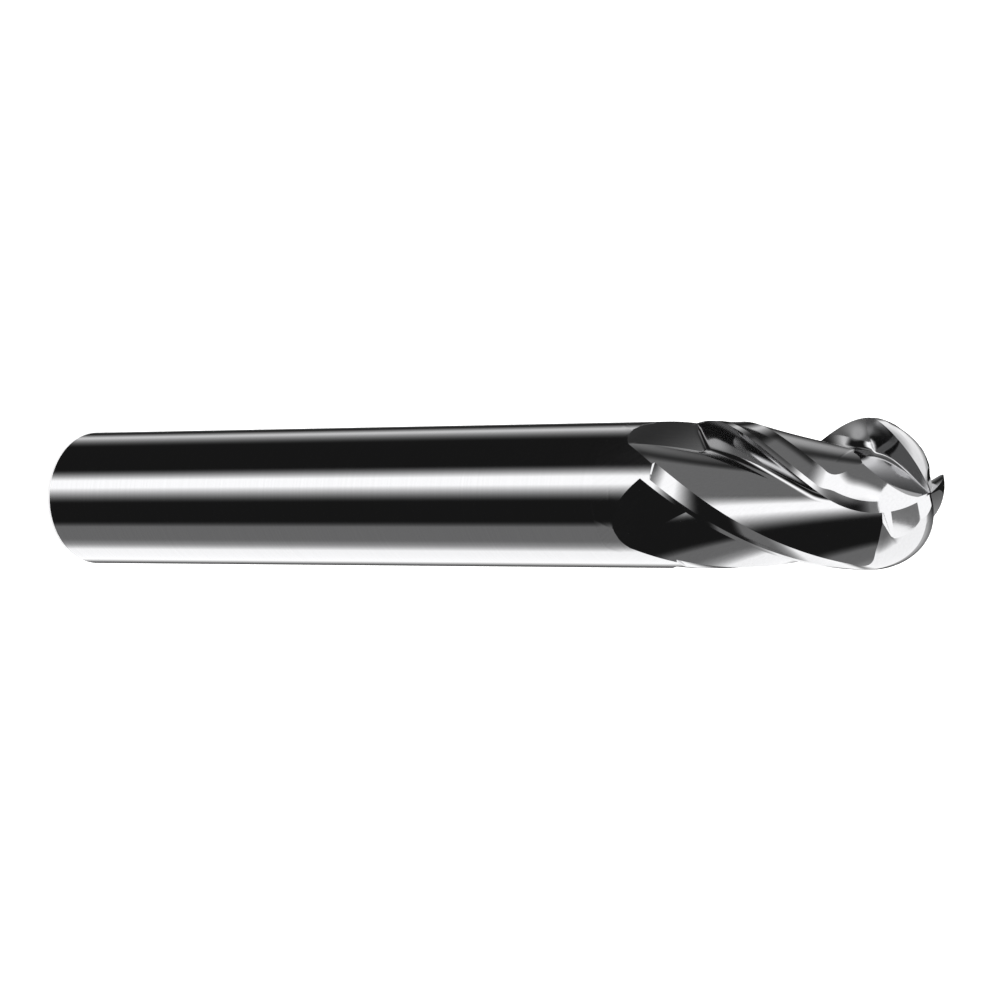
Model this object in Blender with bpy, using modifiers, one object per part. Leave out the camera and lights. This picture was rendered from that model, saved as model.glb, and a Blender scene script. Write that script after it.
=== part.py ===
"""Ball-nose end mill: a plain cylindrical shank and a four-flute cutting head.

Metres, +Z up. The tool stands on the flat end of its shank: the origin is the centre of that
face, +Z runs along the tool's axis and the ball nose is at the top. Right-hand helix, right-hand
cut: seen from the ball nose the tool turns counter-clockwise in use.

Every cross-section of the cutting head is built from the surfaces a tool grinder makes:
two relief lands behind each cutting edge, the flute floor, the gash on the ball nose, the flat
where the flute runs out into the shank, and the rake face of the next tooth. The head is a loft
through those sections.
"""

import math

import bmesh
import bpy
from mathutils import Matrix, Vector

# Driving dimensions
TOOL_DIAMETER = 0.0127
OVERALL_LENGTH = 0.1016
FLUTE_COUNT = 4
HELIX_ANGLE = math.radians(30.0)
LAND_LENGTH = 0.0252  # ball tip to the end of the ground lands
RUN_OUT_LENGTH = 0.0298  # ball tip to the end of the flute run-outs
HEAD_LENGTH = 0.0318  # ball tip to the plane where the plain shank begins
SHANK_CHAMFER = 0.0004
NODE_GAP = 0.0003  # clearance kept between the two solids where they butt

# Lands: two ground flats behind each cutting edge, by the direction each one faces in
MARGIN_FACING = math.radians(4.0)
LAND_FACING = math.radians(16.0)
MARGIN_ON_CYLINDER = 0.0005
MARGIN_ON_BALL = 0.00095
BALL_PRIMARY_RELIEF = math.radians(5.0)
BALL_SECONDARY_RELIEF = math.radians(9.0)
RELIEF_STEP = 0.00025  # length of the step where the relief grinding stops

# Flutes. Angles are measured back from a cutting edge, against the cutting direction.
LAND_WIDTH = 0.00215
FLOOR_FALL = math.tan(math.radians(26.5))  # how steeply the floor falls inwards from the heel
RADIAL_RAKE = math.radians(6.0)
RAKE_HOOK = 0.0032  # radius of the hollow rake face
ROOT_FILLET = 0.0004

# Gashes on the ball nose: a short one and a long one take turns round the tip
GASH_DIRECTION = (math.radians(96.6), math.radians(101.0))  # direction the gash floor faces in
GASH_LENGTH = (0.0023, 0.0053)  # ball tip to where the gash begins to climb out
GASH_LIFT = (30000.0, 800.0)  # how fast the gash floor climbs out of the flute, per metre
SHORT_GASH_START = 0.00081  # the short gash is a flat ramp: its depth at the tip's own height
SHORT_GASH_SLOPE = 0.87
TIP_RAMP = 2.2  # steeper start of the short gash, next to the web
LONG_GASH_RISE = 0.0032
LONG_GASH_STEEPNESS = 1.9  # 1 is a straight ramp, more is steeper at the tip
GASH_CENTRE_OFFSET = 0.00015
WEB = 0.00008  # half thickness of the web left at the tip

# Flat at the flute run-out
RUN_OUT_SLOPE = math.tan(math.radians(21.5))
RUN_OUT_WHEEL = 0.1  # radius of the wheel that leaves it
RUN_OUT_REACH = 0.0098  # how far towards the tip the flat extends
RUN_OUT_DIRECTION = math.radians(30.0)  # direction in which it faces at the run-out's end
RUN_OUT_TWIST = 1.2  # how much faster than the helix the flat turns

BALL_EDGE_STRAIGHTENING = math.radians(7.5)
EDGE_AZIMUTH = math.radians(-89.0)  # first cutting edge, where the ball meets the cylinder

# Loft resolution
ROWS_ON_BALL = 15
ROWS_ON_CYLINDER = 34
MARGIN_STEPS = 2
LAND_STEPS = 3
SHELF_STEPS = 1
FLOOR_STEPS = 5
GASH_STEPS = 3
FILLET_STEPS = 3
RAKE_STEPS = 4
SHANK_SIDES = 72

RADIUS = TOOL_DIAMETER / 2
SECTOR = 2 * math.pi / FLUTE_COUNT
LEAD_SLOPE = math.tan(HELIX_ANGLE)


def clear_scene():
    for obj in list(bpy.data.objects):
        bpy.data.objects.remove(obj, do_unlink=True)


def solve(function, low, high):
    """Point in low..high where function changes sign, by bisection."""
    sign = function(low) > 0
    for _ in range(40):
        middle = (low + high) / 2
        if (function(middle) > 0) == sign:
            low = middle
        else:
            high = middle
    return (low + high) / 2


def smooth(x):
    x = min(max(x, 0.0), 1.0)
    return x * x * (3 - 2 * x)


def envelope(h):
    """Radius of the blank (ball and cylinder) at distance h back from the tip."""
    return math.sqrt(h * (2 * RADIUS - h)) if h < RADIUS else RADIUS


def edge_turn(h):
    """How far round the axis a cutting edge has turned since the ball's equator."""
    s = (RADIUS - h) / RADIUS
    straightening = BALL_EDGE_STRAIGHTENING * s * s if s > 0 else 0.0
    return LEAD_SLOPE * s - straightening


def margin_width(h):
    on_ball = smooth((0.54 * TOOL_DIAMETER - h) / (0.14 * TOOL_DIAMETER))
    return MARGIN_ON_CYLINDER + (MARGIN_ON_BALL - MARGIN_ON_CYLINDER) * on_ball


def relief_share(h):
    """1 along the ground lands, 0 past the step where they end."""
    return min(max((LAND_LENGTH - h) / RELIEF_STEP, 0.0), 1.0)


def land_drop(angle, h):
    """How far the two relief flats lie inside the blank, angle behind a cutting edge."""
    margin = margin_width(h) / envelope(h)
    flat = RADIUS * math.cos(MARGIN_FACING) / math.cos(min(angle, margin) - MARGIN_FACING)
    if angle > margin:
        flat *= math.cos(margin - LAND_FACING) / math.cos(angle - LAND_FACING)
    drop = RADIUS - flat
    if h < RADIUS:
        # on the ball the relief is measured across the land's own width
        width = envelope(h) * angle
        relief = min(width, margin_width(h)) * math.tan(BALL_PRIMARY_RELIEF)
        relief += max(width - margin_width(h), 0.0) * math.tan(BALL_SECONDARY_RELIEF)
        mix = smooth((h - 0.6 * RADIUS) / (0.4 * RADIUS))
        drop = relief * (1 - mix) + drop * mix
    return drop / (1 + (2 * drop / h) ** 3) ** (1 / 3)


def blank_radius(drop, h):
    """Radius left at h when the blank is ground down by drop, square to its surface."""
    if h < RADIUS:
        return math.sqrt((RADIUS - drop) ** 2 - (RADIUS - h) ** 2)
    return RADIUS - drop


def land_radius(angle, h):
    return blank_radius(land_drop(angle, h) * relief_share(h), h)


def floor_radius(angle):
    """Flute floor: a spiral that falls inwards at a constant angle from the heel of the land."""
    heel = LAND_WIDTH / RADIUS
    top = RADIUS - land_drop(heel, 2 * RADIUS)
    return top * math.exp(-FLOOR_FALL * (angle - heel))


def gash_radius(angle, h, kind):
    """Floor of the gash that opens the flute towards the tip."""
    inside = min(h, GASH_LENGTH[kind])
    climbed = (h - inside) ** 2 * GASH_LIFT[kind]
    if kind == 0:
        depth = min(TIP_RAMP * inside, SHORT_GASH_START + SHORT_GASH_SLOPE * inside)
    else:
        left = 1 - inside / GASH_LENGTH[kind]
        depth = LONG_GASH_RISE * (1 - left ** LONG_GASH_STEEPNESS)
    depth = max(depth + climbed - GASH_CENTRE_OFFSET, min(WEB, 0.5 * envelope(h)))
    facing = math.cos(GASH_DIRECTION[kind] - angle)
    return depth / facing if facing > 0.01 else 100 * depth


def run_out_radius(angle, h):
    """Flat that closes the flute off where it runs out into the shank."""
    inside = RUN_OUT_LENGTH - h
    if inside <= 0:
        return RADIUS
    reach = RADIUS - RUN_OUT_SLOPE * inside + inside * inside / (2 * RUN_OUT_WHEEL)
    direction = RUN_OUT_DIRECTION + RUN_OUT_TWIST * LEAD_SLOPE * inside / RADIUS
    facing = math.cos(angle - direction)
    narrow = 0.7 if angle < direction else 0.05
    if inside > RUN_OUT_REACH or facing < narrow:
        return 0.0
    return reach / facing


def cut_radius(angle, h, kind):
    """What the flute, its gash and its run-out leave, before the land is taken into account."""
    floor = min(floor_radius(angle), gash_radius(angle, h, kind))
    return max(floor, run_out_radius(angle, h))


def polar(radius, angle):
    return Vector((radius * math.cos(angle), radius * math.sin(angle)))


def spread(low, high, steps):
    """Steps evenly spaced values from low up to, and without, high."""
    return [low + (high - low) * i / steps for i in range(steps)]


def rake_point(depth, h):
    """Point of the next tooth's rake face, depth along it from the cutting edge."""
    lean = RADIAL_RAKE * smooth(h / (0.3 * TOOL_DIAMETER))
    hooked = smooth((h - 0.3 * TOOL_DIAMETER) / (0.45 * TOOL_DIAMETER))
    curl = max(hooked / RAKE_HOOK, 1.0)
    turned = curl * depth - lean
    x = (math.cos(lean) - math.cos(turned)) / curl
    y = envelope(h) - (math.sin(turned) + math.sin(lean)) / curl
    return Vector((x, y))


def sector_outline(h, kind):
    """One tooth and the flute behind it, as points at growing angle behind the cutting edge."""
    outer = envelope(h)
    step = SECTOR / 240

    def cut_below_land(angle):
        return land_radius(angle, h) - cut_radius(angle, h, kind)

    def cut_below_blank(angle):
        return outer - 1e-7 - cut_radius(angle, h, kind)

    def rake_above_cut(depth):
        point = rake_point(depth, h)
        return point.length - cut_radius(math.atan2(point.y, point.x), h, kind)

    # heel of the land: the first angle at which the flute or its gash cuts deeper than the land
    heel = 0.9 * SECTOR
    for i in range(1, 230):
        if cut_below_land(i * step) > 1e-7:
            heel = solve(cut_below_land, (i - 1) * step, i * step)
            break

    if cut_below_blank(SECTOR) > 0:
        root_depth = solve(rake_above_cut, 0.0, min(outer, 1.5 * RAKE_HOOK))
        root = rake_point(root_depth, h)
        valley = math.atan2(root.y, root.x)
        grown = smooth(h / (0.35 * TOOL_DIAMETER))
        fillet = min(ROOT_FILLET * grown + 0.00004, 0.6 * root_depth)
        fillet = min(fillet, 0.3 * root.length * max(valley - heel, 0.01))
        root_start = valley - fillet / root.length
        before = polar(cut_radius(root_start, h, kind), root_start)
        after = rake_point(root_depth - fillet, h)
        tail = [before * (1 - t) ** 2 + root * (2 * t * (1 - t)) + after * t * t
                for t in spread(0.0, 1.0, FILLET_STEPS)]
        tail += [rake_point(depth, h) for depth in spread(root_depth - fillet, 0.0, RAKE_STEPS)]
    else:
        # past the end of the rake face the flat meets the round body before the next edge
        open_angles = [a for a in spread(heel, SECTOR, 240) if cut_below_blank(a) > 0]
        if open_angles:
            heel = max(heel, solve(cut_below_blank, open_angles[0] - step, open_angles[0]))
            root_start = solve(cut_below_blank, open_angles[-1], open_angles[-1] + step)
        else:
            heel = RUN_OUT_DIRECTION - 0.01
            root_start = RUN_OUT_DIRECTION + 0.01
        tail = [polar(outer, a) for a in spread(root_start, SECTOR, FILLET_STEPS + RAKE_STEPS)]

    shelf = max(heel, LAND_WIDTH / RADIUS) + 0.02
    shelf = min(shelf, heel + 0.3 * (root_start - heel))
    latest = heel + 0.985 * (root_start - heel)

    def floor_ends(angle):
        floor = floor_radius(angle)
        return max(floor - gash_radius(angle, h, kind), run_out_radius(angle, h) - floor)

    # crease where the floor gives way to the gash, or to the run-out flat
    crease = latest
    gap = (latest - shelf) / 80
    for i in range(80):
        if floor_ends(shelf + i * gap) > 0:
            crease = shelf + 0.5 * gap
            if i > 0:
                crease = solve(floor_ends, shelf + (i - 1) * gap, shelf + i * gap)
            break

    margin = min(margin_width(h) / outer, 0.5 * heel)
    lands = spread(0.0, margin, MARGIN_STEPS) + spread(margin, heel, LAND_STEPS)
    floor = spread(heel, shelf, SHELF_STEPS) + spread(shelf, crease, FLOOR_STEPS)
    floor += spread(crease, root_start, GASH_STEPS)
    points = [polar(land_radius(a, h), a) for a in lands]
    points += [polar(min(cut_radius(a, h, kind), outer), a) for a in floor]
    points[len(lands)] = polar(land_radius(heel, h), heel)
    return points + tail


def head_section(h):
    """Whole cross-section of the cutting head, counter-clockwise, h back from the tip."""
    z = OVERALL_LENGTH - h
    ring = []
    outlines = (sector_outline(h, 0), sector_outline(h, 1))
    for tooth in range(FLUTE_COUNT):
        outline = outlines[(tooth + 1) % 2]
        azimuth = EDGE_AZIMUTH + edge_turn(h) - tooth * SECTOR
        for point in outline:
            x = point.x * math.cos(azimuth) + point.y * math.sin(azimuth)
            y = point.x * math.sin(azimuth) - point.y * math.cos(azimuth)
            ring.append(Vector((x, y, z)))
    ring.reverse()
    return ring


def head_stations():
    """Distances back from the tip of the sections that the loft runs through."""
    def rake_ends(h):
        return RADIUS - 1e-7 - run_out_radius(SECTOR, h)

    rake_end = solve(rake_ends, LAND_LENGTH, RUN_OUT_LENGTH)
    special = [LAND_LENGTH - RELIEF_STEP, LAND_LENGTH, rake_end - 0.00002, rake_end + 0.00002]
    stations = []
    for i in range(ROWS_ON_BALL):
        polar_angle = math.radians(1.8 + 88.2 * i / ROWS_ON_BALL)
        stations.append(RADIUS * (1 - math.cos(polar_angle)))
    stations += spread(RADIUS, HEAD_LENGTH, ROWS_ON_CYLINDER)
    stations = [h for h in stations if min(abs(h - known) for known in special) > 0.0002]
    return sorted(stations + special + [HEAD_LENGTH - NODE_GAP])


def loft(name, rings):
    """Closed solid through rings of equal point count, from the tip down."""
    bm = bmesh.new()
    rows = [[bm.verts.new(point) for point in ring] for ring in rings]
    count = len(rows[0])
    for upper, lower in zip(rows, rows[1:]):
        for i in range(count):
            j = (i + 1) % count
            bm.faces.new((upper[i], lower[i], lower[j], upper[j]))
    tip = bm.verts.new((0.0, 0.0, rings[0][0].z))
    end = bm.verts.new((0.0, 0.0, rings[-1][0].z))
    for i in range(count):
        j = (i + 1) % count
        bm.faces.new((tip, rows[0][i], rows[0][j]))
        bm.faces.new((end, rows[-1][j], rows[-1][i]))
    bmesh.ops.triangulate(bm, faces=[f for f in bm.faces if len(f.verts) > 3])
    bmesh.ops.recalc_face_normals(bm, faces=bm.faces)
    mesh = bpy.data.meshes.new(name)
    bm.to_mesh(mesh)
    bm.free()
    return mesh


def ground_carbide(name, colour, roughness):
    material = bpy.data.materials.new(name)
    material.use_nodes = True
    shader = material.node_tree.nodes["Principled BSDF"]
    shader.inputs["Base Color"].default_value = (*colour, 1.0)
    shader.inputs["Metallic"].default_value = 1.0
    shader.inputs["Roughness"].default_value = roughness
    return material


def finish_piece(obj, collection, material, parent):
    for old in list(obj.users_collection):
        old.objects.unlink(obj)
    collection.objects.link(obj)
    obj.data.materials.clear()
    obj.data.materials.append(material)
    obj.data.shade_smooth()
    obj.data.set_sharp_from_angle(angle=math.radians(14))
    obj.parent = parent


def build():
    clear_scene()
    collection = bpy.data.collections.new("ball_nose_end_mill")
    bpy.context.scene.collection.children.link(collection)
    origin = bpy.data.objects.new("end_mill_origin", None)
    collection.objects.link(origin)

    head = bpy.data.objects.new(
        "fluted_head", loft("fluted_head", [head_section(h) for h in head_stations()])
    )
    finish_piece(head, collection, ground_carbide("head_carbide", (0.46, 0.46, 0.47), 0.14), origin)

    shank_length = OVERALL_LENGTH - HEAD_LENGTH
    bpy.ops.mesh.primitive_cylinder_add(
        vertices=SHANK_SIDES, radius=RADIUS, depth=shank_length, end_fill_type="NGON"
    )
    shank = bpy.context.active_object
    shank.name = "shank"
    shank.data.name = "shank"
    shank.data.transform(Matrix.Translation((0.0, 0.0, shank_length / 2)))
    weight = shank.data.attributes.new("bevel_weight_edge", "FLOAT", "EDGE")
    for edge in shank.data.edges:
        low = all(shank.data.vertices[v].co.z < 1e-6 for v in edge.vertices)
        weight.data[edge.index].value = 1.0 if low else 0.0
    chamfer = shank.modifiers.new("end_chamfer", "BEVEL")
    chamfer.limit_method = "WEIGHT"
    chamfer.width = SHANK_CHAMFER
    chamfer.segments = 1
    finish_piece(shank, collection, ground_carbide("shank_carbide", (0.5, 0.5, 0.51), 0.1), origin)


build()
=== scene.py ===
"""Looks of the ball-nose end mill: fine meshes of the shank and the cutting head, ground-carbide
materials, studio panels and the camera."""

import math

import bmesh
import bpy
from mathutils import Matrix, Vector


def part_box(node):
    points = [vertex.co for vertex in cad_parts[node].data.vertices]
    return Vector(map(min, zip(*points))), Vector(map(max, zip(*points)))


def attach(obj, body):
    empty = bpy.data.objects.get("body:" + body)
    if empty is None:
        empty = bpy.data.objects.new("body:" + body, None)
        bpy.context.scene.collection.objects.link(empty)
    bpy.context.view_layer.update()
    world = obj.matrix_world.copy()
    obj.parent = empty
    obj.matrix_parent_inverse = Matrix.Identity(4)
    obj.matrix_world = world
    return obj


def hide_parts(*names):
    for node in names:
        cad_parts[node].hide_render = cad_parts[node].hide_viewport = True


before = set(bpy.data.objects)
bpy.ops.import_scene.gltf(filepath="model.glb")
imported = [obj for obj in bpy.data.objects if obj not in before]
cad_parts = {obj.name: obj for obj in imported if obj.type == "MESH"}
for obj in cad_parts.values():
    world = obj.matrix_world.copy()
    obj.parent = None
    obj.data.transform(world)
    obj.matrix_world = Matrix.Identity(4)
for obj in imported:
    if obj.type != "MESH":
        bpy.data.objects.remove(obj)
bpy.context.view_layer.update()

# ---------------------------------------------------------------- sizes, from the frame

HEAD_LOW, HEAD_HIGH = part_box("fluted_head")
SHANK_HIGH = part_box("shank")[1]
OVERALL_LENGTH = HEAD_HIGH.z + 0.000003  # the head's mesh stops just short of the tip
RADIUS = SHANK_HIGH.x
TOOL_DIAMETER = 2 * RADIUS
SEAM = (HEAD_LOW.z + SHANK_HIGH.z) / 2  # plane where the two pieces butt
HEAD_LENGTH = OVERALL_LENGTH - SEAM
SHANK_CHAMFER = 0.0004

FLUTE_COUNT = 4
HELIX_ANGLE = math.radians(30.0)
LAND_LENGTH = 0.0252  # ball tip to the end of the ground lands
RUN_OUT_LENGTH = 0.0298  # ball tip to the end of the flute run-outs

# Lands: two ground flats behind each cutting edge, by the direction each one faces in
MARGIN_FACING = math.radians(4.0)
LAND_FACING = math.radians(16.0)
MARGIN_ON_CYLINDER = 0.0005
MARGIN_ON_BALL = 0.00095
BALL_PRIMARY_RELIEF = math.radians(5.0)
BALL_SECONDARY_RELIEF = math.radians(9.0)
RELIEF_STEP = 0.00008  # length of the step where the relief grinding stops

# Flutes. Angles are measured back from a cutting edge, against the cutting direction.
LAND_WIDTH = 0.00215
FLOOR_FALL = math.tan(math.radians(26.5))  # how steeply the floor falls inwards from the heel
RADIAL_RAKE = math.radians(6.0)
RAKE_HOOK = 0.0032  # radius of the hollow rake face
ROOT_FILLET = 0.0004

# Gashes on the ball nose: a short one and a long one take turns round the tip
GASH_DIRECTION = (math.radians(96.6), math.radians(101.0))  # direction the gash floor faces in
GASH_LENGTH = (0.0023, 0.0053)  # ball tip to where the gash begins to climb out
GASH_LIFT = (30000.0, 800.0)  # how fast the gash floor climbs out of the flute, per metre
SHORT_GASH_START = 0.00081  # the short gash is a flat ramp: its depth at the tip's own height
SHORT_GASH_SLOPE = 0.87
TIP_RAMP = 2.2  # steeper start of the short gash, next to the web
LONG_GASH_RISE = 0.0032
LONG_GASH_STEEPNESS = 1.9  # 1 is a straight ramp, more is steeper at the tip
GASH_CENTRE_OFFSET = 0.00015
WEB = 0.00008  # half thickness of the web left at the tip

# Flat at the flute run-out
RUN_OUT_SLOPE = math.tan(math.radians(21.5))
RUN_OUT_WHEEL = 0.1  # radius of the wheel that leaves it
RUN_OUT_REACH = 0.0098  # how far towards the tip the flat extends
RUN_OUT_DIRECTION = math.radians(30.0)  # direction in which it faces at the run-out's end
RUN_OUT_TWIST = 1.2  # how much faster than the helix the flat turns

BALL_EDGE_STRAIGHTENING = math.radians(7.5)
EDGE_AZIMUTH = math.radians(-89.0)  # first cutting edge, where the ball meets the cylinder

# Mesh resolution: rows along the axis, steps across one tooth and its flute
ROWS_ON_BALL = 64
ROWS_ON_CYLINDER = 150
MARGIN_STEPS = 3
LAND_STEPS = 6
SHELF_STEPS = 2
FLOOR_STEPS = 22
GASH_STEPS = 10
FILLET_STEPS = 10
RAKE_STEPS = 12
SHANK_SIDES = 288
SHANK_ROWS = 24
TIP_ANGLE = 1.8  # degrees round the ball from the tip to the first ring
ROW_CLEARANCE = 0.00008  # least distance kept between ordinary rings and special ones
SEARCH_STEPS = 240  # steps across a sector when looking for the heel
CREASE_SEARCH_STEPS = 80

# Bend, in degrees, from which an edge between two faces is drawn sharp
SHARP_GROUND_EDGE = 1
SHARP_CREASE = 7
SHARP_ACROSS = 14
SHARP_ALONG = 30

# Studio
CARBIDE_TONE = 0.55  # how bright the bare metal is; the cards make up for it
CARD_RADIUS = 0.8
CARD_REACH = 1.4  # how far the cards go above and below the tool's foot
DISPLAY_GAMMA = 2.2
TOP_CARD_HEIGHT = 1.05
STUDIO_RADIUS = 4.6
FLOOR_DROP = 0.0002  # keeps the floor from touching the shank's end
DARK_SURROUND = 0.008  # what the metal reflects between the cards

# Ground carbide
TONE_SPREAD = 0.06
BLUE_TINT = 1.015
ROUGHNESS_SPREAD = 0.3
CLOUD_SCALE = 260.0  # soft unevenness of the polish, about 4 mm across

# Camera
LENS_LENGTH = 164.8  # mm, on a 36 mm sensor
CAMERA_PLACE = (0.0013, -0.3017, 0.3305)
CAMERA_RIGHT = (0.0024, 0.6764, 0.7366)
CAMERA_UP = (-1.0, 0.0, 0.0033)

SECTOR = 2 * math.pi / FLUTE_COUNT
LEAD_SLOPE = math.tan(HELIX_ANGLE)


# ---------------------------------------------------------------- cutting head

def solve(function, low, high):
    """Point in low..high where function changes sign, by bisection."""
    sign = function(low) > 0
    for _ in range(40):
        middle = (low + high) / 2
        if (function(middle) > 0) == sign:
            low = middle
        else:
            high = middle
    return (low + high) / 2


def smooth(x):
    """0 below x = 0, 1 above x = 1, and an even rise between them."""
    x = min(max(x, 0.0), 1.0)
    return x * x * (3 - 2 * x)


def envelope(h):
    """Radius of the blank (ball and cylinder) at distance h back from the tip."""
    return math.sqrt(h * (2 * RADIUS - h)) if h < RADIUS else RADIUS


def edge_turn(h):
    """How far round the axis a cutting edge has turned since the ball's equator."""
    s = (RADIUS - h) / RADIUS
    straightening = BALL_EDGE_STRAIGHTENING * s * s if s > 0 else 0.0
    return LEAD_SLOPE * s - straightening


def margin_width(h):
    """Width of the primary margin, which grows as the edge runs up onto the ball."""
    on_ball = smooth((0.54 * TOOL_DIAMETER - h) / (0.14 * TOOL_DIAMETER))
    return MARGIN_ON_CYLINDER + (MARGIN_ON_BALL - MARGIN_ON_CYLINDER) * on_ball


def relief_share(h):
    """1 along the ground lands, 0 past the step where they end."""
    return min(max((LAND_LENGTH - h) / RELIEF_STEP, 0.0), 1.0)


def land_drop(angle, h):
    """How far the two relief flats lie inside the blank, angle behind a cutting edge."""
    margin = margin_width(h) / envelope(h)
    flat = RADIUS * math.cos(MARGIN_FACING) / math.cos(min(angle, margin) - MARGIN_FACING)
    if angle > margin:
        flat *= math.cos(margin - LAND_FACING) / math.cos(angle - LAND_FACING)
    drop = RADIUS - flat
    if h < RADIUS:
        # on the ball the relief is measured across the land's own width
        width = envelope(h) * angle
        relief = min(width, margin_width(h)) * math.tan(BALL_PRIMARY_RELIEF)
        relief += max(width - margin_width(h), 0.0) * math.tan(BALL_SECONDARY_RELIEF)
        mix = smooth((h - 0.6 * RADIUS) / (0.4 * RADIUS))
        drop = relief * (1 - mix) + drop * mix
    # close to the tip the drop levels off at half of the distance to the tip
    return drop / (1 + (2 * drop / h) ** 3) ** (1 / 3)


def blank_radius(drop, h):
    """Radius left at h when the blank is ground down by drop, square to its surface."""
    if h < RADIUS:
        return math.sqrt((RADIUS - drop) ** 2 - (RADIUS - h) ** 2)
    return RADIUS - drop


def land_radius(angle, h):
    """Radius of the ground land, angle behind a cutting edge."""
    return blank_radius(land_drop(angle, h) * relief_share(h), h)


def floor_radius(angle):
    """Flute floor: a spiral that falls inwards at a constant angle from the heel of the land."""
    heel = LAND_WIDTH / RADIUS
    top = RADIUS - land_drop(heel, 2 * RADIUS)
    return top * math.exp(-FLOOR_FALL * (angle - heel))


def gash_radius(angle, h, kind):
    """Floor of the gash that opens the flute towards the tip."""
    inside = min(h, GASH_LENGTH[kind])
    climbed = (h - inside) ** 2 * GASH_LIFT[kind]
    if kind == 0:
        depth = min(TIP_RAMP * inside, SHORT_GASH_START + SHORT_GASH_SLOPE * inside)
    else:
        left = 1 - inside / GASH_LENGTH[kind]
        depth = LONG_GASH_RISE * (1 - left ** LONG_GASH_STEEPNESS)
    depth = max(depth + climbed - GASH_CENTRE_OFFSET, min(WEB, 0.5 * envelope(h)))
    facing = math.cos(GASH_DIRECTION[kind] - angle)
    return depth / facing if facing > 0.01 else 100 * depth


def run_out_radius(angle, h):
    """Flat that closes the flute off where it runs out into the shank."""
    inside = RUN_OUT_LENGTH - h
    if inside <= 0:
        return RADIUS
    reach = RADIUS - RUN_OUT_SLOPE * inside + inside * inside / (2 * RUN_OUT_WHEEL)
    direction = RUN_OUT_DIRECTION + RUN_OUT_TWIST * LEAD_SLOPE * inside / RADIUS
    facing = math.cos(angle - direction)
    # the flat doesn't count where it would be seen nearly edge-on
    narrow = 0.7 if angle < direction else 0.05
    if inside > RUN_OUT_REACH or facing < narrow:
        return 0.0
    return reach / facing


def cut_radius(angle, h, kind):
    """What the flute, its gash and its run-out leave, before the land is taken into account."""
    floor = min(floor_radius(angle), gash_radius(angle, h, kind))
    return max(floor, run_out_radius(angle, h))


def polar(radius, angle):
    """Point at the given radius and angle."""
    return Vector((radius * math.cos(angle), radius * math.sin(angle)))


def spread(low, high, steps):
    """Steps evenly spaced values from low up to, and without, high."""
    return [low + (high - low) * i / steps for i in range(steps)]


def rake_point(depth, h):
    """Point of the next tooth's rake face, depth along it from the cutting edge.

    The face is an arc that is hollow on the cylinder and flattens out towards the tip.
    """
    lean = RADIAL_RAKE * smooth(h / (0.3 * TOOL_DIAMETER))
    hooked = smooth((h - 0.3 * TOOL_DIAMETER) / (0.45 * TOOL_DIAMETER))
    curl = max(hooked / RAKE_HOOK, 1.0)
    turned = curl * depth - lean
    x = (math.cos(lean) - math.cos(turned)) / curl
    y = envelope(h) - (math.sin(turned) + math.sin(lean)) / curl
    return Vector((x, y))


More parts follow.
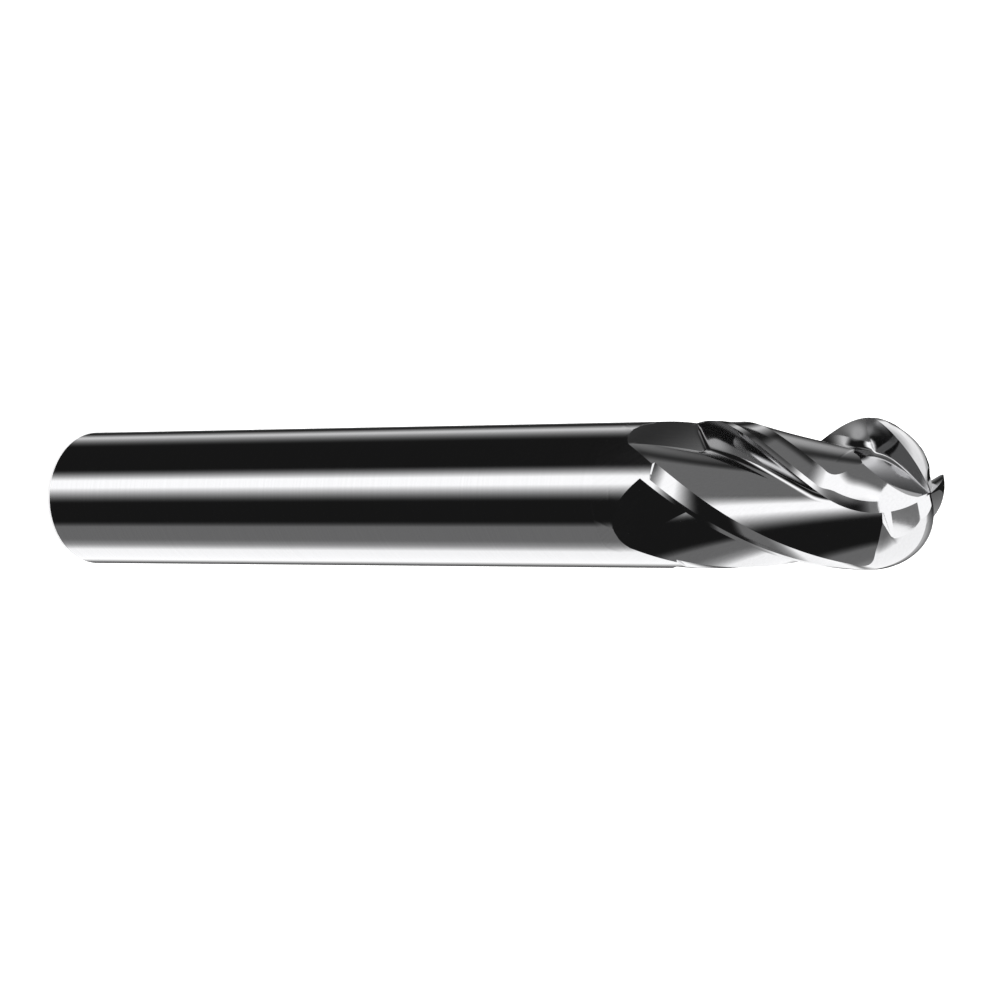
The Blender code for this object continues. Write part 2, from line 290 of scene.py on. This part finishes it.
def sector_outline(h, kind):
    """One tooth and the flute behind it, as points at growing angle behind the cutting edge."""
    outer = envelope(h)
    step = SECTOR / SEARCH_STEPS

    def cut_below_land(angle):
        return land_radius(angle, h) - cut_radius(angle, h, kind)

    def cut_below_blank(angle):
        return outer - 1e-7 - cut_radius(angle, h, kind)

    def rake_above_cut(depth):
        point = rake_point(depth, h)
        return point.length - cut_radius(math.atan2(point.y, point.x), h, kind)

    # heel of the land: the first angle at which the flute or its gash cuts deeper than the land
    heel = 0.9 * SECTOR
    for i in range(1, SEARCH_STEPS - 10):
        if cut_below_land(i * step) > 1e-7:
            heel = solve(cut_below_land, (i - 1) * step, i * step)
            break

    if cut_below_blank(SECTOR) > 0:
        root_depth = solve(rake_above_cut, 0.0, min(outer, 1.5 * RAKE_HOOK))
        root = rake_point(root_depth, h)
        valley = math.atan2(root.y, root.x)
        grown = smooth(h / (0.35 * TOOL_DIAMETER))
        fillet = min(ROOT_FILLET * grown + 0.00004, 0.6 * root_depth)
        fillet = min(fillet, 0.3 * root.length * max(valley - heel, 0.01))
        root_start = valley - fillet / root.length
        before = polar(cut_radius(root_start, h, kind), root_start)
        after = rake_point(root_depth - fillet, h)
        tail = [before * (1 - t) ** 2 + root * (2 * t * (1 - t)) + after * t * t
                for t in spread(0.0, 1.0, FILLET_STEPS)]
        tail += [rake_point(depth, h) for depth in spread(root_depth - fillet, 0.0, RAKE_STEPS)]
    else:
        # past the end of the rake face the flat meets the round body before the next edge
        open_angles = [a for a in spread(heel, SECTOR, SEARCH_STEPS) if cut_below_blank(a) > 0]
        if open_angles:
            heel = max(heel, solve(cut_below_blank, open_angles[0] - step, open_angles[0]))
            root_start = solve(cut_below_blank, open_angles[-1], open_angles[-1] + step)
        else:
            heel = RUN_OUT_DIRECTION - 0.01
            root_start = RUN_OUT_DIRECTION + 0.01
        tail = [polar(outer, a) for a in spread(root_start, SECTOR, FILLET_STEPS + RAKE_STEPS)]

    # the floor's own columns start on the shelf, so they don't move where the heel does
    shelf = max(heel, LAND_WIDTH / RADIUS) + 0.02
    shelf = min(shelf, heel + 0.3 * (root_start - heel))
    latest = heel + 0.985 * (root_start - heel)

    def floor_ends(angle):
        floor = floor_radius(angle)
        return max(floor - gash_radius(angle, h, kind), run_out_radius(angle, h) - floor)

    # crease where the floor gives way to the gash, or to the run-out flat
    crease = latest
    gap = (latest - shelf) / CREASE_SEARCH_STEPS
    for i in range(CREASE_SEARCH_STEPS):
        if floor_ends(shelf + i * gap) > 0:
            crease = shelf + 0.5 * gap
            if i > 0:
                crease = solve(floor_ends, shelf + (i - 1) * gap, shelf + i * gap)
            break

    margin = min(margin_width(h) / outer, 0.5 * heel)
    lands = spread(0.0, margin, MARGIN_STEPS) + spread(margin, heel, LAND_STEPS)
    floor = spread(heel, shelf, SHELF_STEPS) + spread(shelf, crease, FLOOR_STEPS)
    floor += spread(crease, root_start, GASH_STEPS)
    points = [polar(land_radius(a, h), a) for a in lands]
    points += [polar(min(cut_radius(a, h, kind), outer), a) for a in floor]
    points[len(lands)] = polar(land_radius(heel, h), heel)
    return points + tail


def head_section(h):
    """Whole cross-section of the cutting head, h back from the tip."""
    z = OVERALL_LENGTH - h
    ring = []
    outlines = (sector_outline(h, 0), sector_outline(h, 1))
    for tooth in range(FLUTE_COUNT):
        outline = outlines[(tooth + 1) % 2]
        azimuth = EDGE_AZIMUTH + edge_turn(h) - tooth * SECTOR
        for point in outline:
            x = point.x * math.cos(azimuth) + point.y * math.sin(azimuth)
            y = point.x * math.sin(azimuth) - point.y * math.cos(azimuth)
            ring.append(Vector((x, y, z)))
    return ring


def head_stations():
    """Distances back from the tip of the rings of the mesh."""
    def rake_ends(h):
        return RADIUS - 1e-7 - run_out_radius(SECTOR, h)

    rake_end = solve(rake_ends, LAND_LENGTH, RUN_OUT_LENGTH)
    special = [LAND_LENGTH - RELIEF_STEP, LAND_LENGTH, rake_end - 0.00001, rake_end + 0.00001]
    stations = []
    for i in range(ROWS_ON_BALL):
        polar_angle = math.radians(TIP_ANGLE + (90 - TIP_ANGLE) * i / ROWS_ON_BALL)
        stations.append(RADIUS * (1 - math.cos(polar_angle)))
    stations += spread(RADIUS, HEAD_LENGTH, ROWS_ON_CYLINDER)
    stations = [h for h in stations if min(abs(h - known) for known in special) > ROW_CLEARANCE]
    return sorted(stations + special + [HEAD_LENGTH])


def build_head():
    """Rings joined from tip to seam, with the ground edges marked sharp."""
    rings = [head_section(h) for h in head_stations()]
    bm = bmesh.new()
    rows = [[bm.verts.new(point) for point in ring] for ring in rings]
    bm.verts.index_update()
    count = len(rows[0])
    for upper, lower in zip(rows, rows[1:]):
        for i in range(count):
            j = (i + 1) % count
            bm.faces.new((upper[j], lower[j], lower[i], upper[i]))
    tip = bm.verts.new((0.0, 0.0, rings[0][0].z))
    end = bm.verts.new((0.0, 0.0, rings[-1][0].z))
    for i in range(count):
        j = (i + 1) % count
        bm.faces.new((tip, rows[0][j], rows[0][i]))
        bm.faces.new((end, rows[-1][i], rows[-1][j]))
    bm.normal_update()
    bmesh.ops.recalc_face_normals(bm, faces=bm.faces)
    across = count // FLUTE_COUNT
    heel_column = MARGIN_STEPS + LAND_STEPS
    crease_column = heel_column + SHELF_STEPS + FLOOR_STEPS
    ground_edges = (0, MARGIN_STEPS, heel_column)
    lands_end = OVERALL_LENGTH - LAND_LENGTH
    for edge in bm.edges:
        columns = [v.index % count % across for v in edge.verts]
        along = columns[0] == columns[1]
        relieved = min(v.co.z for v in edge.verts) > lands_end
        bend = edge.calc_face_angle(0.0)
        if along and relieved and columns[0] in ground_edges:
            limit = SHARP_GROUND_EDGE
        elif along and columns[0] in (heel_column, crease_column):
            limit = SHARP_CREASE
        elif along:
            limit = SHARP_ALONG
        else:
            limit = SHARP_ACROSS
        edge.smooth = bend < math.radians(limit)
    mesh = bpy.data.meshes.new("fluted_head_fine")
    bm.to_mesh(mesh)
    bm.free()
    head = bpy.data.objects.new("fluted_head_fine", mesh)
    bpy.context.scene.collection.objects.link(head)
    for polygon in mesh.polygons:
        polygon.use_smooth = True
    return head


# ---------------------------------------------------------------- shank

def build_shank():
    """Plain round shank with a chamfer at the held end."""
    bm = bmesh.new()
    profile = [(RADIUS - SHANK_CHAMFER, 0.0), (RADIUS, SHANK_CHAMFER)]
    profile += [(RADIUS, z) for z in spread(SHANK_CHAMFER, SEAM, SHANK_ROWS)[1:]] + [(RADIUS, SEAM)]
    rows = []
    for radius, z in profile:
        rows.append([bm.verts.new((radius * math.cos(a), radius * math.sin(a), z))
                     for a in spread(0.0, 2 * math.pi, SHANK_SIDES)])
    for lower, upper in zip(rows, rows[1:]):
        for i in range(SHANK_SIDES):
            j = (i + 1) % SHANK_SIDES
            bm.faces.new((lower[i], lower[j], upper[j], upper[i]))
    bm.faces.new(list(reversed(rows[0])))
    bm.faces.new(rows[-1])
    mesh = bpy.data.meshes.new("shank_fine")
    bm.to_mesh(mesh)
    bm.free()
    shank = bpy.data.objects.new("shank_fine", mesh)
    bpy.context.scene.collection.objects.link(shank)
    mesh.shade_smooth()
    mesh.set_sharp_from_angle(angle=math.radians(SHARP_ALONG))
    return shank


# ---------------------------------------------------------------- materials

def ground_carbide(name, tone, roughness, twist, stretch, bump):
    """Bright ground carbide whose fine grinding lines follow a helix of the given twist per metre.

    The stretch gives how fine the grain is along each axis, in grains per metre, and bump is the
    depth of the lines in metres.
    """
    material = bpy.data.materials.new(name)
    material.use_nodes = True
    nodes = material.node_tree.nodes
    links = material.node_tree.links
    shader = nodes["Principled BSDF"]
    shader.inputs["Metallic"].default_value = 1.0
    place = nodes.new("ShaderNodeTexCoord")
    split = nodes.new("ShaderNodeSeparateXYZ")
    links.new(place.outputs["Object"], split.inputs[0])
    turn = nodes.new("ShaderNodeMath")
    turn.operation = "MULTIPLY"
    turn.inputs[1].default_value = twist
    links.new(split.outputs["Z"], turn.inputs[0])
    unwind = nodes.new("ShaderNodeVectorRotate")
    unwind.rotation_type = "Z_AXIS"
    links.new(place.outputs["Object"], unwind.inputs["Vector"])
    links.new(turn.outputs[0], unwind.inputs["Angle"])
    scale = nodes.new("ShaderNodeMapping")
    scale.inputs["Scale"].default_value = stretch
    links.new(unwind.outputs[0], scale.inputs["Vector"])
    lines = nodes.new("ShaderNodeTexNoise")
    lines.inputs["Scale"].default_value = 1.0
    lines.inputs["Detail"].default_value = 4.0
    links.new(scale.outputs[0], lines.inputs["Vector"])
    cloud = nodes.new("ShaderNodeTexNoise")
    cloud.inputs["Scale"].default_value = CLOUD_SCALE
    cloud.inputs["Detail"].default_value = 3.0
    links.new(place.outputs["Object"], cloud.inputs["Vector"])

    colour = nodes.new("ShaderNodeMapRange")
    colour.inputs["To Min"].default_value = tone * (1 - TONE_SPREAD)
    colour.inputs["To Max"].default_value = tone * (1 + TONE_SPREAD)
    links.new(lines.outputs["Fac"], colour.inputs["Value"])
    tint = nodes.new("ShaderNodeCombineColor")
    for channel in ("Red", "Green"):
        links.new(colour.outputs[0], tint.inputs[channel])
    blue = nodes.new("ShaderNodeMath")
    blue.operation = "MULTIPLY"
    blue.inputs[1].default_value = BLUE_TINT
    links.new(colour.outputs[0], blue.inputs[0])
    links.new(blue.outputs[0], tint.inputs["Blue"])
    links.new(tint.outputs[0], shader.inputs["Base Color"])

    both = nodes.new("ShaderNodeMath")
    both.operation = "ADD"
    links.new(lines.outputs["Fac"], both.inputs[0])
    links.new(cloud.outputs["Fac"], both.inputs[1])
    polish = nodes.new("ShaderNodeMapRange")
    polish.inputs["From Min"].default_value = 0.6
    polish.inputs["From Max"].default_value = 1.4
    polish.inputs["To Min"].default_value = roughness * (1 - ROUGHNESS_SPREAD)
    polish.inputs["To Max"].default_value = roughness * (1 + ROUGHNESS_SPREAD)
    links.new(both.outputs[0], polish.inputs["Value"])
    links.new(polish.outputs[0], shader.inputs["Roughness"])

    relief = nodes.new("ShaderNodeBump")
    relief.inputs["Strength"].default_value = 1.0
    relief.inputs["Distance"].default_value = bump
    links.new(lines.outputs["Fac"], relief.inputs["Height"])
    links.new(relief.outputs[0], shader.inputs["Normal"])
    return material


TWIST = LEAD_SLOPE / RADIUS  # how far the flutes turn per metre of length


def paint(head, shank):
    """Grinding lines run round the shank and along the flutes."""
    polished = ground_carbide("polished_shank", CARBIDE_TONE, 0.07, 0.0, (40, 40, 5000), 6e-8)
    fluted = ground_carbide("ground_flutes", CARBIDE_TONE, 0.09, TWIST, (5000, 5000, 60), 8e-8)
    shank.data.materials.append(polished)
    head.data.materials.append(fluted)


# ---------------------------------------------------------------- studio

def emission(name, build_strength):
    """Glowing material whose strength and output are wired up by build_strength."""
    material = bpy.data.materials.new(name)
    material.use_nodes = True
    nodes = material.node_tree.nodes
    nodes.clear()
    glow = nodes.new("ShaderNodeEmission")
    out = nodes.new("ShaderNodeOutputMaterial")
    build_strength(material.node_tree, glow, out)
    return material


def let_through(tree, glow, out):
    """Add the glow to what is behind the card, so that a dim card doesn't block a bright one."""
    clear = tree.nodes.new("ShaderNodeBsdfTransparent")
    both = tree.nodes.new("ShaderNodeAddShader")
    tree.links.new(glow.outputs[0], both.inputs[0])
    tree.links.new(clear.outputs[0], both.inputs[1])
    tree.links.new(both.outputs[0], out.inputs["Surface"])


def hang_card(name, mesh, build_strength, z=0.0):
    mesh.materials.append(emission(name, build_strength))
    obj = bpy.data.objects.new(name, mesh)
    obj.location.z = z
    bpy.context.scene.collection.objects.link(obj)
    obj.visible_camera = False
    return obj


def card(name, start, rise, fall, end, level, low=-CARD_REACH, high=CARD_REACH, fade=0.01):
    """Curved light card round the tool, glowing at the display value given by level.

    Azimuths run from -Y (0) towards -X (90), in degrees. The glow fades in from start to rise and
    out from fall to end, and upwards from low over the height given by fade.
    """
    def azimuth_point(azimuth, z):
        a = math.radians(azimuth)
        return (-CARD_RADIUS * math.sin(a), -CARD_RADIUS * math.cos(a), z)

    steps = max(4, int((end - start) / 3))
    bm = bmesh.new()
    layer = bm.loops.layers.uv.new("across")
    rows = []
    for i in range(steps + 1):
        azimuth = start + (end - start) * i / steps
        rows.append((azimuth, bm.verts.new(azimuth_point(azimuth, low)),
                     bm.verts.new(azimuth_point(azimuth, high))))
    for (a, la, ha), (b, lb, hb) in zip(rows, rows[1:]):
        face = bm.faces.new((la, lb, hb, ha))
        corners = ((a, low), (b, low), (b, high), (a, high))
        for loop, (azimuth, z) in zip(face.loops, corners):
            loop[layer].uv = (azimuth / 360, (z - low) / fade)
    mesh = bpy.data.meshes.new(name)
    bm.to_mesh(mesh)
    bm.free()

    def build_strength(tree, glow, out):
        place = tree.nodes.new("ShaderNodeUVMap")
        place.uv_map = "across"
        split = tree.nodes.new("ShaderNodeSeparateXYZ")
        tree.links.new(place.outputs[0], split.inputs[0])
        ends = []
        for dark, lit in ((start, rise), (end, fall)):
            ramp = tree.nodes.new("ShaderNodeMapRange")
            ramp.inputs["From Min"].default_value = dark / 360
            ramp.inputs["From Max"].default_value = lit / 360
            tree.links.new(split.outputs["X"], ramp.inputs["Value"])
            ends.append(ramp)
        across = tree.nodes.new("ShaderNodeMath")
        across.operation = "MINIMUM"
        tree.links.new(ends[0].outputs[0], across.inputs[0])
        tree.links.new(ends[1].outputs[0], across.inputs[1])
        grows = tree.nodes.new("ShaderNodeMapRange")
        tree.links.new(split.outputs["Y"], grows.inputs["Value"])
        faded = tree.nodes.new("ShaderNodeMath")
        faded.operation = "MULTIPLY"
        tree.links.new(across.outputs[0], faded.inputs[0])
        tree.links.new(grows.outputs[0], faded.inputs[1])
        shown = tree.nodes.new("ShaderNodeMath")
        shown.operation = "MULTIPLY"
        shown.inputs[1].default_value = level
        tree.links.new(faded.outputs[0], shown.inputs[0])
        light = tree.nodes.new("ShaderNodeMath")
        light.operation = "POWER"
        light.inputs[1].default_value = DISPLAY_GAMMA
        tree.links.new(shown.outputs[0], light.inputs[0])
        strength = tree.nodes.new("ShaderNodeMath")
        strength.operation = "MULTIPLY"
        strength.inputs[1].default_value = 1 / CARBIDE_TONE
        tree.links.new(light.outputs[0], strength.inputs[0])
        tree.links.new(strength.outputs[0], glow.inputs["Strength"])
        let_through(tree, glow, out)

    hang_card(name, mesh, build_strength)


def flat_card(name, radius, z, level, soft=False):
    """Round level card above or below the tool. A soft one fades towards its rim."""
    bm = bmesh.new()
    bmesh.ops.create_circle(bm, cap_ends=True, segments=48, radius=radius)
    mesh = bpy.data.meshes.new(name)
    bm.to_mesh(mesh)
    bm.free()

    def build_strength(tree, glow, out):
        full = level ** DISPLAY_GAMMA / CARBIDE_TONE
        glow.inputs["Strength"].default_value = full
        tree.links.new(glow.outputs[0], out.inputs["Surface"])
        if soft:
            place = tree.nodes.new("ShaderNodeTexCoord")
            reach = tree.nodes.new("ShaderNodeVectorMath")
            reach.operation = "LENGTH"
            tree.links.new(place.outputs["Object"], reach.inputs[0])
            ramp = tree.nodes.new("ShaderNodeMapRange")
            ramp.interpolation_type = "SMOOTHSTEP"
            ramp.inputs["From Min"].default_value = radius
            ramp.inputs["From Max"].default_value = 0.3 * radius
            ramp.inputs["To Max"].default_value = full
            tree.links.new(reach.outputs["Value"], ramp.inputs["Value"])
            tree.links.new(ramp.outputs[0], glow.inputs["Strength"])
            let_through(tree, glow, out)

    return hang_card(name, mesh, build_strength, z)


def build_studio():
    """Cards round the tool that the camera doesn't see, a pale floor and a pale backdrop."""
    scene = bpy.context.scene
    card("key_card", -10, 17, 30, 50, 0.98)
    card("left_fill", -165, -138, -102, -76, 0.93)
    card("left_grey_low", -104, -84, -52, -41, 0.38, high=-0.4)
    card("left_grey_high", -104, -84, -62, -50, 0.38, low=-0.4)
    card("right_grey", 34, 48, 96, 112, 0.38, low=-0.62, fade=0.12)
    card("right_fill_low", 100, 128, 132, 152, 0.7, high=-0.5)
    card("right_fill_high", 102, 140, 158, 175, 0.85, low=-0.5, fade=0.2)
    card("back_fill", 150, 172, 188, 210, 0.45, high=-0.5)
    card("high_grey", -60, -44, 14, 30, 0.42, low=0.35, fade=0.4)
    flat_card("top_card", CARD_RADIUS, TOP_CARD_HEIGHT, 0.97)
    flat_card("low_card", CARD_RADIUS, -CARD_REACH, 0.33)
    low_light = flat_card("low_light", 0.5, -CARD_REACH + 0.02, 0.5, soft=True)
    low_light.location.x = -0.5  # on the -X side, where it lights the rake faces

    bpy.ops.mesh.primitive_circle_add(vertices=96, radius=STUDIO_RADIUS, fill_type="NGON")
    floor = bpy.context.active_object
    floor.name = "studio_floor"
    floor.location.z = -FLOOR_DROP
    floor.visible_glossy = False
    pale = bpy.data.materials.new("studio_floor")
    pale.use_nodes = True
    shader = pale.node_tree.nodes["Principled BSDF"]
    shader.inputs["Base Color"].default_value = (0.9, 0.9, 0.9, 1.0)
    shader.inputs["Roughness"].default_value = 0.9
    shader.inputs["Specular IOR Level"].default_value = 0.0
    shader.inputs["Emission Color"].default_value = (1.0, 1.0, 1.0, 1.0)
    shader.inputs["Emission Strength"].default_value = 0.7
    floor.data.materials.append(pale)

    bpy.ops.mesh.primitive_uv_sphere_add(segments=48, ring_count=24, radius=STUDIO_RADIUS)
    dome = bpy.context.active_object
    dome.name = "studio_backdrop"
    dome.visible_glossy = False
    dome.visible_diffuse = False

    def build_strength(tree, glow, out):
        glow.inputs["Strength"].default_value = 1.0
        tree.links.new(glow.outputs[0], out.inputs["Surface"])

    dome.data.materials.append(emission("studio_backdrop", build_strength))

    world = bpy.data.worlds.new("studio")
    scene.world = world
    world.use_nodes = True
    background = world.node_tree.nodes["Background"]
    background.inputs["Color"].default_value = (1.0, 1.0, 1.0, 1.0)
    background.inputs["Strength"].default_value = DARK_SURROUND / CARBIDE_TONE
    scene.view_settings.view_transform = "Standard"


def build_camera():
    """Camera above and in front of the tool, rolled so that the tool lies across the picture."""
    lens = bpy.data.cameras.new("camera")
    lens.sensor_width = 36.0
    lens.lens = LENS_LENGTH
    camera = bpy.data.objects.new("camera", lens)
    bpy.context.scene.collection.objects.link(camera)
    right = Vector(CAMERA_RIGHT)
    up = Vector(CAMERA_UP)
    back = right.cross(up).normalized()
    up = back.cross(right).normalized()
    turn = Matrix((right.normalized(), up, back)).transposed().to_4x4()
    camera.matrix_world = Matrix.Translation(CAMERA_PLACE) @ turn
    lens.clip_start = 0.01
    lens.clip_end = 20.0
    bpy.context.scene.camera = camera


build_camera()
build_studio()
head_piece = build_head()
shank_piece = build_shank()
paint(head_piece, shank_piece)
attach(head_piece, "root")
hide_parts("fluted_head")
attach(shank_piece, "root")
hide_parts("shank")
